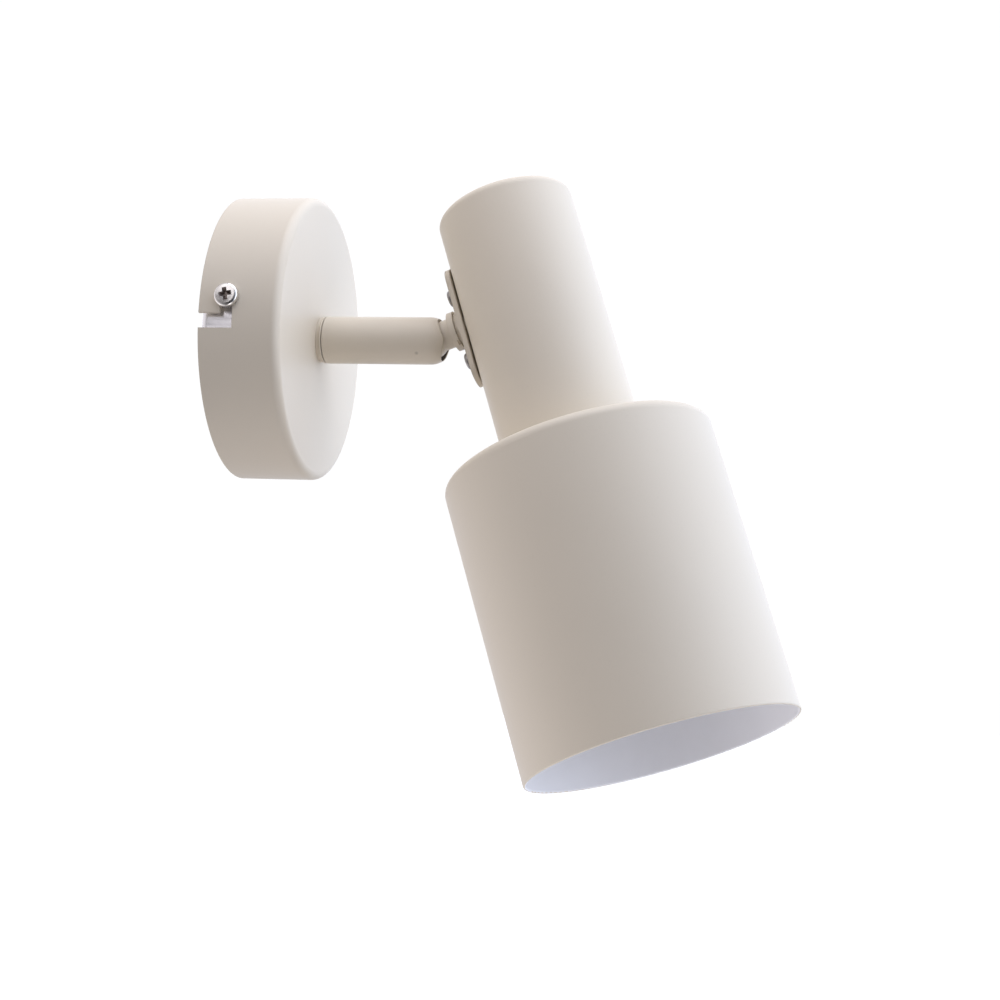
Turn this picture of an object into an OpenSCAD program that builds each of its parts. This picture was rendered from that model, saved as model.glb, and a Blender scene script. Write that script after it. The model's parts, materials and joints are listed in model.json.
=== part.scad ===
// Adjustable wall spotlight: a round base, a swivelling arm, a slotted knuckle and a turning head.
// Millimetres. The origin is the centre of the base on the wall plane.
// The arm points along -Y, away from the wall, and +Z is up. The head is drawn in a tilted, turned pose.

/* [Base cover] */
// Outer diameter of the base cover
base_d = 100; // [92:1:130]
// Depth of the base cover, from the wall to its front face
base_depth = 28; // [27:1:45]
// Sheet thickness of the base cover
cover_wall = 1; // [0.8:0.1:1.4]
// Radius of the soft front edge of the cover
cover_edge_r = 2.8; // [1.6:0.1:4]
// Width of the two bayonet slots in the cover's side
slot_w = 4.4; // [4.3:0.1:5.2]
// Width of each slot's mouth at the cover's rim
slot_mouth_w = 5; // [4.6:0.1:6.4]
// Distance of the cover screws from the wall
cover_screw_out = 9.6; // [8:0.1:12]
// Angle that the cover turns between a slot's mouth and its end
bayonet_turn = 9.5; // [8:0.5:16]

/* [Mounting bracket] */
// Angle of the bracket strip above horizontal
bracket_angle = 16; // [0:0.5:45]
// Width of the bracket strip
bracket_w = 24; // [20:1:26]
// Sheet thickness of the bracket
bracket_t = 1.6; // [1.2:0.1:2.5]
// Outer radius of the bends between strip and ears
bracket_bend_r = 2.6; // [2.5:0.1:4]
// Height of the bracket's ears above the wall
ear_h = 15; // [13:0.5:18]
// Circle diameter of the two wall-screw holes
wall_screw_pcd = 60; // [56:1:66]
// Diameter of the wall-screw holes
wall_hole_d = 5; // [4:0.1:6]

/* [Screws] */
// Thread diameter of the cover screws
cover_screw_d = 4; // [3:0.1:4.1]
// Head diameter of the cover screws
cover_head_d = 8; // [7:0.1:9]
// Thread diameter of the two plate screws
plate_screw_d = 3; // [2.5:0.1:3.5]
// Head diameter of the two plate screws
plate_head_d = 6; // [5.4:0.1:6.6]
// Distance between the two plate screws
plate_screw_pitch = 24.4; // [22:0.2:30]

/* [Terminal block] */
// Distance between neighbouring poles
pole_pitch = 10; // [9.8:0.1:12]
// Length of the block along the wires
block_l = 16; // [15:0.5:18]
// Distance of the block's middle from the base's middle
block_offset = 13; // [12:0.5:14]

/* [Arm] */
// Outer diameter of the arm tube
arm_d = 16.7; // [16:0.1:20]
// Wall thickness of the arm tube
arm_wall = 1.2; // [1:0.1:1.6]
// Distance of the knuckle's ball from the wall
ball_out = 68; // [66:0.5:90]
// Thickness of the swivel collar between the base and the arm
collar_t = 2; // [1.6:0.1:3]
// Thread diameter of the hollow swivel bolt
swivel_bolt_d = 8; // [7.4:0.1:9]
// Furthest turn of the arm to either side
swivel_limit = 165; // [90:5:165]

/* [Knuckle] */
// Diameter of the knuckle's ball
ball_d = 13.5; // [13:0.1:13.6]
// Diameter of the stem between the ball and the head
stem_d = 10.4; // [9.5:0.1:10.8]
// Diameter of the flange ring on the stem
stem_ring_d = 14; // [13.4:0.1:16]
// Distance from the ball's centre to the outer face of the flange ring
stem_ring_out = 11; // [10.6:0.1:12]
// Thickness of the flange ring
stem_ring_t = 2.2; // [2:0.1:2.8]
// Furthest tilt up that the arm's slot lets the stem reach
slot_up = 24; // [20.4:0.2:40]
// Furthest tilt down that the arm's slot lets the stem reach
slot_down = 14; // [6:0.5:40]
// Furthest turn of the head to either side of upright
head_turn_limit = 95; // [60:5:110]
// Upward tilt of the stem as drawn
rest_tilt = 20.4; // [-14:0.2:24]
// Turn of the head about the stem as drawn
rest_turn = 17; // [-30:0.5:30]

/* [Head] */
// Distance from the ball's centre to the head's axis
head_out = 38.5; // [38:0.5:48]
// Outer diameter of the neck
neck_d = 48.2; // [48:0.2:54]
// Height of the neck above the shade
neck_h = 96; // [90:1:130]
// Height of the closed neck top above the stem
neck_top = 38; // [34:1:46]
// Radius of the neck's top edge
neck_edge_r = 3; // [1.5:0.1:5]
// Outer diameter of the shade
shade_d = 93.5; // [84:1:120]
// Height of the shade
shade_h = 104.5; // [100:1:140]
// Radius of the shade's shoulder
shade_edge_r = 3.5; // [2:0.1:8]
// Sheet thickness of neck and shade
sheet = 1; // [0.8:0.1:1.4]
// Length of the oblong plate on the neck
plate_l = 45; // [40:1:52]
// Width of the oblong plate
plate_w = 12.6; // [12:0.1:14]
// Thickness of the oblong plate
plate_t = 1.9; // [1.6:0.1:2.4]

/* [Lamp] */
// Outer diameter of the lampholder's threaded skirt
holder_d = 39.6; // [39:0.1:40.4]
// Length of the skirt below the shade's shoulder
skirt_h = 25; // [24:0.5:28]
// Outer diameter of the bulb's screw cap
cap_d = 26.4; // [26:0.1:26.6]
// Diameter of the bulb's diffuser
bulb_d = 45; // [42:1:50]
// Length of the bulb with its cap
bulb_l = 78; // [75:1:84]

/* [Hidden] */

$fn = 96;

// Gaps: fit is a running or screwed fit, gap is between moving surfaces, seat is between faces that touch
fit = 0.05;
gap = 0.3;
seat = 0.1;
// Cutting tools run past the faces that they cut by this much
over = 1;

// Paint colours and metals
cream = [0.86, 0.83, 0.77];
white = [0.93, 0.93, 0.94];
zinc = [0.80, 0.81, 0.83];
steel = [0.66, 0.67, 0.69];
brass = [0.80, 0.66, 0.36];
black = [0.12, 0.12, 0.12];
porcelain = [0.92, 0.90, 0.86];
frosted = [0.97, 0.96, 0.93];

// Base
base_r = base_d / 2;
cover_inner_r = base_r - cover_wall;
ear_out = sqrt(pow(cover_inner_r - gap, 2) - pow(bracket_w / 2, 2));
cover_head_h = 2.6;
cover_screw_past = 5;
cover_screw_l = base_r - ear_out + bracket_t + cover_screw_past;
mouth_at = base_r * sin(bayonet_turn);
slot_cut_r = cover_inner_r * cos(bayonet_turn) - slot_w;
slot_cut_l = base_r - slot_cut_r + over;

// Terminal block, in the bracket's frame
poles = [-1, 0, 1];
pole_r = 4.3;
pole_h = 5;
pole_z = bracket_t + pole_h;
slab_h = 3;
insert_r = 2.3;
insert_bore_r = 1.4;
insert_inset = 1;
insert_l = block_l - 2 * insert_inset;
well_x = 4;
well_r = 1.7;
chimney_r = 2.7;
chimney_h = 12;
chimney_top = bracket_t + chimney_h;
clamp_r = 1.25;
clamp_l = 5.5;
fixing_d = 2.5;
fixing_head_d = 4.2;
fixing_head_h = 1.6;
fixing_y = pole_pitch / 2;

// Earth lug, in the bracket's frame
lug_w = 12;
lug_h = 14;
lug_x = -30;
earth_z = 8.5;
earth_d = 4;
earth_head_d = 7;
earth_head_h = 2.2;
earth_screw_past = 4;
ring_tag_t = 0.8;
lug_inner_y = bracket_w / 2 - bracket_t;

// Wire cores
core_d = 1.8;
core_pitch_r = 1.15;
core_sides = 8;
core_steps = 12;
lead_inset = 2;

// Swivel
bolt_r = swivel_bolt_d / 2;
bolt_bore_r = 2.5;
washer_t = 0.8;
nut_t = 3.4;
nut_flats = 13;
cover_inner_face = base_depth - cover_wall;
nut_out = cover_inner_face - washer_t - nut_t;
bolt_past = 2;
bolt_end = nut_out - bolt_past;
collar_rim_t = 0.6;
collar_step = 0.5;
arm_start = base_depth + collar_t + gap;
arm_r = arm_d / 2;
arm_inner_r = arm_r - arm_wall;
bush_l = 10;
bush_end = arm_start + bush_l;
disc_h = 0.9;
disc_t = 0.4;
bolt_head_out = bush_end + disc_h + 2 * seat;
bolt_head_t = 2.2;
bolt_head_clear = 0.85;
bolt_head_r = arm_inner_r - bolt_head_clear;
bolt_head_end = bolt_head_out + bolt_head_t;
stop_r = (bolt_r + arm_inner_r) / 2;
stop_pin_r = 0.7;
stop_depth = 1.6;
stop_pin_angle = asin((stop_pin_r + gap) / stop_r);
stop_rib_half = 180 - swivel_limit - stop_pin_angle;
stop_groove_half = stop_pin_r + gap;

// Knuckle
ball_r = ball_d / 2;
stem_r = stem_d / 2;
knuckle_slot_r = stem_r + 2 * gap;
seat_ring_l = 4;
seat_ring_front = -3.5;
seat_sphere_r = ball_r + gap;
seat_bore_r = 4.2;
spring_stop_t = 2;
spring_stop_out = bolt_head_end + spring_stop_t;
spring_wire_d = 1.3;
spring_turns = 5;
spring_start = spring_stop_out + spring_stop_t;
spring_end = ball_out + seat_ring_front - seat_ring_l;
spring_r = arm_inner_r - gap - spring_wire_d / 2;
stem_bore_r = 2.5;
spigot_r = 4;
boss_r = 6.1;
ring_back_out = stem_ring_out - stem_ring_t;
boss_out = stem_ring_out + seat;
nib_r = 0.5;
nib_at_r = 5.4;
nib_depth = 0.8;
nib_angle = asin((nib_r + gap) / nib_at_r);
ring_notch_w = 2.2;
ring_notch_depth = 0.9;
ring_notch_t = 0.7;
ring_notch_angle = 220;

// Head
neck_r = neck_d / 2;
neck_inner_r = neck_r - sheet;
shade_r = shade_d / 2;
plate_back = head_out - neck_r - seat / 2;
plate_front = plate_back - plate_t;
plate_screw_ys = [-plate_screw_pitch / 2, plate_screw_pitch / 2];
plate_head_h = 2;
nut_plate_w = 14;
nut_plate_l = 40;
nut_plate_t = 2.4;
nut_plate_out = head_out - sqrt(pow(neck_inner_r, 2) - pow(nut_plate_w / 2, 2)) + seat;
nut_plate_end = nut_plate_out + nut_plate_t;
stem_washer_out = nut_plate_end + seat;
stem_nut_out = stem_washer_out + washer_t + seat;
spigot_past = 0.6;
spigot_end = stem_nut_out + nut_t + spigot_past;
shoulder = neck_top - neck_h;
mouth = shoulder - shade_h;

// Lampholder and bulb, on the head's axis
collar_hole_r = holder_d / 2 + 2 * seat;
holder_flange_t = 2;
holder_flange_w = 1.6;
holder_flange_r = collar_hole_r + holder_flange_w;
holder_edge_r = 3;
holder_top_h = 24;
holder_top_r = 16.5;
thread_groove = 0.8;
thread_pitch = 2.5;
skirt_bottom = shoulder - skirt_h;
cap_r = cap_d / 2;
shell_t = 0.4;
shell_r = cap_r + gap;
cavity_r = shell_r + shell_t + seat;
cavity_rise = 4;
cavity_top = shoulder + cavity_rise;
shell_h = 20;
contact_rise = 1.5;
contact_z = shoulder + contact_rise;
contact_t = 0.5;
shade_ring_h = 6;
shade_ring_r = 25;
cap_h = 22;
cap_groove = 0.9;
cap_pitch = 3.6;
bulb_tip = contact_z - contact_t - seat;
insulator_h = 2.5;
cap_top = bulb_tip - insulator_h;
cap_bottom = cap_top - cap_h;
bulb_r = bulb_d / 2;
bulb_wall = 1.4;
diffuser_z = bulb_tip - bulb_l + bulb_r;
housing_rise = 8;
housing_bottom = diffuser_z + housing_rise;
lead_entry_x = 7;

function unit(v) = v / norm(v);
// Point at t on the curve that four control points steer
function bezier(p, t) =
    pow(1 - t, 3) * p[0] + 3 * pow(1 - t, 2) * t * p[1] + 3 * (1 - t) * t * t * p[2] + pow(t, 3) * p[3];
function curve(p, steps) = [for (i = [0 : steps]) bezier(p, i / steps)];
// The three cores lie in a triangle round the middle of a bore
function core_at(k) = core_pitch_r * [k == 0 ? -1 : 0.5, k * sin(60)];

// Local z runs away from the wall, local y is up
module from_wall(out = 0) {
    rotate([90, 0, 0]) translate([0, 0, out]) children();
}

// Local x runs along the bracket strip, local z away from the wall
module on_bracket(out = 0) {
    from_wall(out) rotate([0, 0, 180 - bracket_angle]) children();
}

// Local z runs along the stem from the ball's centre
module along_stem(out = 0) {
    translate([0, -ball_out, 0]) rotate([90 - rest_tilt, 0, 0]) translate([0, 0, out]) children();
}

// The same for what turns with the head; local y runs up the neck
module along_turned_stem(out = 0) {
    along_stem() rotate([0, 0, -rest_turn]) translate([0, 0, out]) children();
}

// Local z runs up the head's axis from the level of the stem, local y points to the stem's ball
module on_head_axis() {
    along_turned_stem(head_out) rotate([-90, 0, 0]) children();
}

module tube(outer_r, inner_r, h) {
    difference() {
        cylinder(r = outer_r, h = h);
        translate([0, 0, -over]) cylinder(r = inner_r, h = h + 2 * over);
    }
}

// Round tube along a list of points; across is a direction that the route never takes
module wire(points, d, sides, across) {
    last = len(points) - 1;
    rings = [
        for (i = [0 : last])
            let (ahead = unit(points[min(i + 1, last)] - points[max(i - 1, 0)]))
            let (side = unit(cross(ahead, across)))
            let (rise = cross(ahead, side))
            for (k = [0 : sides - 1])
                points[i] + d / 2 * (cos(360 * k / sides) * side + sin(360 * k / sides) * rise)
    ];
    skin = [
        for (i = [0 : last - 1])
            for (k = [0 : sides - 1])
                let (a = i * sides + k)
                let (b = i * sides + (k + 1) % sides)
                each [[a, a + sides, b + sides], [a, b + sides, b]]
    ];
    start = [for (k = [0 : sides - 1]) k];
    finish = [for (k = [sides - 1 : -1 : 0]) last * sides + k];
    polyhedron(points = rings, faces = concat(skin, [start], [finish]));
}

// Pan-head screw with a cross recess: the underside of the head is at z = 0, the shank runs down
module pan_screw(d, head_d, head_h, length) {
    edge_h = 0.35 * head_h;
    dome_h = head_h - edge_h;
    dome_r = (pow(head_d / 2, 2) + pow(dome_h, 2)) / (2 * dome_h);
    recess_w = 0.15 * head_d;
    recess_l = 0.5 * head_d;
    recess_h = 0.55 * head_h;
    difference() {
        union() {
            translate([0, 0, -length]) cylinder(d = d, h = length);
            cylinder(d = head_d, h = edge_h);
            intersection() {
                translate([0, 0, head_h - dome_r]) sphere(r = dome_r);
                cylinder(d = head_d, h = head_h + over);
            }
        }
        for (turn = [0, 90])
            rotate([0, 0, turn])
                translate([-recess_l / 2, -recess_w / 2, head_h - recess_h])
                    cube([recess_l, recess_w, recess_h + over]);
    }
}

// Half section of a sheet-metal cup with a rounded closed end at the top and a hole in that end
module cup_section(outer_r, h, wall, edge_r, hole_r) {
    difference() {
        round_corner_section(outer_r, h, edge_r);
        translate([0, -over]) round_corner_section(outer_r - wall, h - wall + over, edge_r - wall);
        translate([-over, -over]) square([hole_r + over, h + 2 * over]);
    }
}

module round_corner_section(r, h, edge_r) {
    square([r - edge_r, h]);
    square([r, h - edge_r]);
    translate([r - edge_r, h - edge_r]) circle(r = edge_r);
}

module base_cover() {
    color(cream) from_wall() difference() {
        rotate_extrude() cup_section(base_r, base_depth, cover_wall, cover_edge_r, bolt_r + 2 * fit);
        for (side = [0, 180]) rotate([0, 0, side - bracket_angle]) translate([slot_cut_r, 0, 0]) {
            // leg of the slot, round at the screw
            translate([0, 0, cover_screw_out]) rotate([0, 90, 0]) cylinder(d = slot_w, h = slot_cut_l);
            translate([0, 0, cover_screw_out - slot_w / 2]) cube([slot_cut_l, mouth_at, slot_w]);
            // mouth of the slot, open to the wall
            translate([0, mouth_at - slot_mouth_w / 2, -over])
                cube([slot_cut_l, slot_mouth_w, over + cover_screw_out + slot_w / 2]);
        }
    }
}

module bracket_section() {
    translate([-ear_out + bracket_bend_r, 0]) square([2 * (ear_out - bracket_bend_r), bracket_t]);
    for (side = [0, 1]) mirror([side, 0]) {
        translate([ear_out - bracket_t, bracket_bend_r]) square([bracket_t, ear_h - bracket_bend_r]);
        intersection() {
            translate([ear_out - bracket_bend_r, bracket_bend_r]) difference() {
                circle(r = bracket_bend_r);
                circle(r = bracket_bend_r - bracket_t);
            }
            translate([ear_out - bracket_bend_r, 0]) square(bracket_bend_r);
        }
    }
}

module mounting_bracket() {
    color(zinc) on_bracket() difference() {
        union() {
            translate([0, bracket_w / 2, 0]) rotate([90, 0, 0]) linear_extrude(bracket_w) bracket_section();
            translate([lug_x - lug_w / 2, lug_inner_y, 0]) cube([lug_w, bracket_t, lug_h]);
        }
        // tapped holes for the cover screws
        for (side = [0, 180])
            rotate([0, 0, side]) translate([0, 0, cover_screw_out]) rotate([0, 90, 0])
                translate([0, 0, ear_out - bracket_t - over])
                    cylinder(d = cover_screw_d + 2 * fit, h = bracket_t + 2 * over);
        // wall-screw holes
        for (side = [-1, 1])
            translate([side * wall_screw_pcd / 2, 0, -over])
                cylinder(d = wall_hole_d, h = bracket_t + 2 * over);
        translate([lug_x, lug_inner_y - over, earth_z]) rotate([-90, 0, 0])
            cylinder(d = earth_d + 2 * fit, h = bracket_t + 2 * over);
        translate([-block_offset, fixing_y, -over])
            cylinder(d = fixing_d + 2 * fit, h = bracket_t + 2 * over);
    }
}

module cover_screws() {
    color(zinc) on_bracket() for (side = [0, 180])
        rotate([0, 0, side]) translate([base_r, 0, cover_screw_out]) rotate([0, 90, 0])
            pan_screw(cover_screw_d, cover_head_d, cover_head_h, cover_screw_l);
}

module terminal_housing() {
    color(white) on_bracket() translate([-block_offset, 0, 0]) difference() {
        union() {
            translate([-block_l / 2, -1.5 * pole_pitch, bracket_t]) cube([block_l, 3 * pole_pitch, slab_h]);
            for (k = poles) translate([0, k * pole_pitch, 0]) {
                translate([-block_l / 2, 0, pole_z]) rotate([0, 90, 0]) cylinder(r = pole_r, h = block_l);
                for (side = [-1, 1])
                    translate([side * well_x, 0, pole_z]) cylinder(r = chimney_r, h = chimney_top - pole_z);
            }
        }
        for (k = poles) translate([0, k * pole_pitch, pole_z]) {
            translate([-block_l / 2 - over, 0, 0]) rotate([0, 90, 0])
                cylinder(r = insert_r + fit, h = block_l + 2 * over);
            for (side = [-1, 1])
                translate([side * well_x, 0, 0]) cylinder(r = well_r, h = chimney_top);
        }
        translate([0, fixing_y, 0]) cylinder(d = fixing_d + 2 * seat, h = chimney_top);
        translate([0, fixing_y, bracket_t + slab_h]) cylinder(d = fixing_head_d + 2 * seat, h = chimney_top);
    }
}

module terminal_inserts() {
    color(brass) on_bracket() for (k = poles)
        translate([-block_offset, k * pole_pitch, pole_z]) difference() {
            translate([-insert_l / 2, 0, 0]) rotate([0, 90, 0]) tube(insert_r, insert_bore_r, insert_l);
            for (side = [-1, 1])
                translate([side * well_x, 0, 0]) cylinder(r = clamp_r + fit, h = insert_r + over);
        }
}

module terminal_screws() {
    slot_h = 0.8;
    slot_t = 0.5;
    color(steel) on_bracket() for (k = poles, side = [-1, 1])
        translate([-block_offset + side * well_x, k * pole_pitch, pole_z + insert_bore_r]) difference() {
            cylinder(r = clamp_r, h = clamp_l);
            translate([-clamp_r - over, -slot_t / 2, clamp_l - slot_h])
                cube([2 * (clamp_r + over), slot_t, slot_h + over]);
        }
}

module terminal_fixing_screw() {
    color(zinc) on_bracket() translate([-block_offset, fixing_y, bracket_t + slab_h])
        pan_screw(fixing_d, fixing_head_d, fixing_head_h, slab_h + bracket_t - seat);
}

// Pan-head screw with a ring tag under its head, set in the lug
module earth_screw() {
    color(brass) on_bracket() translate([lug_x, lug_inner_y, earth_z]) rotate([90, 0, 0]) {
        translate([0, 0, ring_tag_t])
            pan_screw(earth_d, earth_head_d, earth_head_h, bracket_t + ring_tag_t + earth_screw_past);
        tube(earth_head_d / 2, earth_d / 2, ring_tag_t);
    }
}

// Earth core from the third pole to the ring tag
module earth_lead() {
    leave = [-4, 0, 0];
    arrive = [0, -8, 8];
    from = [-block_offset - block_l / 2 + lead_inset, pole_pitch, pole_z];
    to = [lug_x, lug_inner_y - core_d / 2 - gap, earth_z + (earth_head_d + core_d) / 2];
    route = curve([from, from + leave, to + arrive, to], core_steps);
    color(core_colour(1)) on_bracket() wire(route, core_d, core_sides, [0, 1, 0]);
}

// Three cores from the poles into the hollow bolt and on to its head
module base_leads() {
    bend = 9;
    on_bracket() for (k = poles) {
        from = [-block_offset + block_l / 2 - lead_inset, k * pole_pitch, pole_z];
        entry = [core_at(k)[0], core_at(k)[1], bolt_end];
        route = concat(
            curve([from, from + [bend, 0, 0], entry - [0, 0, bend], entry], core_steps),
            [[entry[0], entry[1], bolt_head_end]]
        );
        color(core_colour(k)) wire(route, core_d, core_sides, [0, 1, 0.1]);
    }
}

function core_colour(k) = k == 0 ? [0.25, 0.45, 0.75] : k < 0 ? [0.5, 0.3, 0.2] : [0.55, 0.68, 0.25];

module swivel_bolt() {
    driver_w = 1.2;
    driver_h = 1;
    color(steel) from_wall() difference() {
        union() {
            translate([0, 0, bolt_end]) cylinder(r = bolt_r, h = bolt_head_out - bolt_end);
            translate([0, 0, bolt_head_out]) cylinder(r = bolt_head_r, h = bolt_head_t);
        }
        translate([0, 0, bolt_end - over]) cylinder(r = bolt_bore_r, h = bolt_head_end - bolt_end + 2 * over);
        translate([-bolt_head_r - over, -driver_w / 2, bolt_head_end - driver_h])
            cube([2 * (bolt_head_r + over), driver_w, driver_h + over]);
    }
}

module hex_nut(flats, bore_r, h) {
    difference() {
        cylinder(r = flats / 2 / cos(30), h = h, $fn = 6);
        translate([0, 0, -over]) cylinder(r = bore_r, h = h + 2 * over);
    }
}

module swivel_nut() {
    color(zinc) from_wall(nut_out) hex_nut(nut_flats, bolt_r + fit, nut_t);
}

module toothed_washer() {
    teeth = 12;
    washer_w = 2.2;
    washer_r = nut_flats / 2 + washer_w;
    tooth_gap = 1.2;
    tooth_h = 1.6;
    color(steel) from_wall(cover_inner_face - washer_t) difference() {
        tube(washer_r, bolt_r + seat, washer_t);
        for (k = [0 : teeth - 1])
            rotate([0, 0, 360 * k / teeth]) translate([washer_r - tooth_h, -tooth_gap / 2, -over])
                cube([tooth_h + over, tooth_gap, washer_t + 2 * over]);
    }
}

// Stepped ring between cover and arm, with the pin that stops the arm's turn
module swivel_collar() {
    color(cream) from_wall(base_depth) {
        tube(arm_r - collar_step, bolt_r + fit, collar_t - collar_rim_t);
        translate([0, 0, collar_t - collar_rim_t]) tube(arm_r, bolt_r + fit, collar_rim_t);
        translate([0, stop_r, collar_t - collar_rim_t])
            cylinder(r = stop_pin_r, h = collar_rim_t + stop_depth);
    }
}

// Sector of a slab round the ball's centre, for the slot that the stem swings in
module slot_sweep(down, up, r, half_w) {
    steps = 8;
    step = (down + up) / steps;
    translate([-half_w, 0, 0]) rotate([90, 0, 90]) linear_extrude(2 * half_w)
        polygon(concat([[0, 0]], [for (i = [0 : steps])
            let (a = i * step - down) r / cos(step / 2) * [sin(a), cos(a)]]));
}

module arm_tube() {
    cut_r = arm_r + 2 * over;
    color(cream) from_wall() difference() {
        union() {
            translate([0, 0, arm_start]) cylinder(r = arm_r, h = ball_out - arm_start);
            translate([0, 0, ball_out]) sphere(r = arm_r);
        }
        translate([0, 0, arm_start - over]) cylinder(r = arm_inner_r, h = ball_out - arm_start + over);
        translate([0, 0, ball_out]) {
            sphere(r = arm_inner_r);
            slot_sweep(slot_down, slot_up, cut_r, knuckle_slot_r - fit);
            for (tilt = [-slot_down, slot_up])
                rotate([-tilt, 0, 0]) cylinder(r = knuckle_slot_r, h = cut_r);
        }
    }
}

// Bush in the wall end of the arm, with the groove that the stop pin runs in
module arm_bush() {
    color(steel) from_wall(arm_start) difference() {
        tube(arm_inner_r - fit, bolt_r + fit, bush_l);
        rotate([0, 0, -90 + stop_rib_half]) translate([0, 0, -over])
            rotate_extrude(angle = 360 - 2 * stop_rib_half)
                translate([stop_r - stop_groove_half, 0])
                    square([2 * stop_groove_half, stop_depth + over]);
    }
}

// Dished spring washer that gives the swivel its friction
module disc_spring() {
    inner = bolt_r + seat;
    outer = bolt_head_r - seat;
    color(steel) from_wall(bush_end + seat) rotate_extrude()
        polygon([[inner, disc_h - disc_t], [outer, 0], [outer, disc_t], [inner, disc_h]]);
}

module spring_stop() {
    color(steel) from_wall(spring_stop_out) tube(arm_inner_r - fit, seat_bore_r, spring_stop_t);
}

module friction_spring() {
    wire_sides = 6;
    ring_count = 16;
    rise = spring_end - spring_start - spring_wire_d - 2 * seat;
    steps = spring_turns * ring_count;
    coil = [for (i = [0 : steps])
        [spring_r * cos(360 * i / ring_count), spring_r * sin(360 * i / ring_count), rise * i / steps]];
    color(zinc) from_wall(spring_start + spring_wire_d / 2 + seat)
        wire(coil, spring_wire_d, wire_sides, [0, 0, 1]);
}

// Cup-shaped ring that the spring presses on the ball
module seat_ring() {
    color(black) from_wall(ball_out) difference() {
        translate([0, 0, seat_ring_front - seat_ring_l])
            tube(arm_inner_r - seat, seat_bore_r, seat_ring_l);
        sphere(r = seat_sphere_r);
    }
}

module arm_leads() {
    ball_clear = 1.5;
    start = bolt_head_end + gap;
    color(core_colour(0)) from_wall(start) rotate([0, 0, 180 - bracket_angle]) for (k = poles)
        translate([core_at(k)[0], core_at(k)[1], 0])
            cylinder(d = core_d, h = ball_out - ball_r - ball_clear - start);
}

// Ball, hollow stem and the spigot that the head turns on
module ball_stem() {
    flare_w = 1.2;
    flare_r = stem_bore_r + flare_w;
    flare_l = 3;
    color(cream) along_stem() difference() {
        union() {
            sphere(r = ball_r);
            cylinder(r = stem_r, h = ring_back_out - seat);
            cylinder(r = spigot_r, h = spigot_end);
        }
        translate([0, 0, -ball_r - over]) cylinder(r = stem_bore_r, h = ball_r + spigot_end + 2 * over);
        translate([0, 0, -ball_r]) rotate_extrude()
            polygon([[0, -over], [flare_r, -over], [flare_r, 0], [stem_bore_r, flare_l], [0, flare_l]]);
    }
}

// Flange ring that is fixed on the spigot, with the groove that the head's nib runs in
module stem_ring() {
    color(cream) along_stem() difference() {
        translate([0, 0, ring_back_out]) tube(stem_ring_d / 2, spigot_r + fit, stem_ring_t);
        translate([0, 0, stem_ring_out - nib_depth - gap])
            rotate([0, 0, 90 - head_turn_limit - nib_angle])
                rotate_extrude(angle = 2 * (head_turn_limit + nib_angle))
                    translate([nib_at_r - nib_r - gap, 0]) square([2 * (nib_r + gap), nib_depth + gap + over]);
        // index notch on the rim
        rotate([0, 0, ring_notch_angle])
            translate([stem_ring_d / 2 - ring_notch_depth, -ring_notch_w / 2, stem_ring_out - ring_notch_t])
                cube([ring_notch_depth + over, ring_notch_w, ring_notch_t + over]);
    }
}

module stem_washer() {
    washer_w = 1;
    color(steel) along_stem(stem_washer_out) tube(nut_flats / 2 + washer_w, spigot_r + seat, washer_t);
}

module stem_nut() {
    color(zinc) along_stem(stem_nut_out) hex_nut(nut_flats, spigot_r + fit, nut_t);
}

module stem_leads() {
    color(core_colour(0)) along_stem(-ball_r) for (k = poles)
        translate([core_at(k)[0], core_at(k)[1], 0]) cylinder(d = core_d, h = ball_r + spigot_end);
}

// Flat plate with round ends
module oblong(l, w, t) {
    linear_extrude(t) {
        square([w, l - w], center = true);
        for (end = [-1, 1]) translate([0, end * (l - w) / 2]) circle(d = w);
    }
}

// Oblong plate with a flared boss and the nib that stops the head's turn
module head_plate() {
    flare = plate_front - boss_out;
    flare_top = boss_r + flare;
    color(cream) along_turned_stem() difference() {
        union() {
            translate([0, 0, plate_front]) oblong(plate_l, plate_w, plate_t);
            translate([0, 0, boss_out]) cylinder(r = boss_r, h = plate_front - boss_out + seat);
            // fillet between boss and plate, cut to the plate's width
            intersection() {
                translate([0, 0, plate_front]) rotate_extrude() difference() {
                    translate([0, -flare]) square([flare_top, flare]);
                    translate([flare_top, -flare]) circle(r = flare);
                }
                translate([-plate_w / 2, -plate_l / 2, boss_out]) cube([plate_w, plate_l, plate_t + flare]);
            }
            translate([0, nib_at_r, stem_ring_out - nib_depth])
                cylinder(r = nib_r, h = nib_depth + 2 * seat);
        }
        translate([0, 0, boss_out - over]) cylinder(r = spigot_r + fit, h = plate_back - boss_out + 2 * over);
        for (y = plate_screw_ys)
            translate([0, y, plate_front - over]) cylinder(d = plate_screw_d + 2 * seat, h = plate_t + 2 * over);
    }
}

module plate_screws() {
    screw_past = 1;
    color(zinc) along_turned_stem(plate_front) for (y = plate_screw_ys)
        translate([0, y, 0]) rotate([180, 0, 0])
            pan_screw(plate_screw_d, plate_head_d, plate_head_h, nut_plate_end - plate_front + screw_past);
}

// Tapped strip inside the neck that the plate screws pull against
module nut_plate() {
    color(zinc) along_turned_stem(nut_plate_out) difference() {
        oblong(nut_plate_l, nut_plate_w, nut_plate_t);
        translate([0, 0, -over]) cylinder(r = spigot_r + fit, h = nut_plate_t + 2 * over);
        for (y = plate_screw_ys)
            translate([0, y, -over]) cylinder(d = plate_screw_d + 2 * fit, h = nut_plate_t + 2 * over);
    }
}

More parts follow.
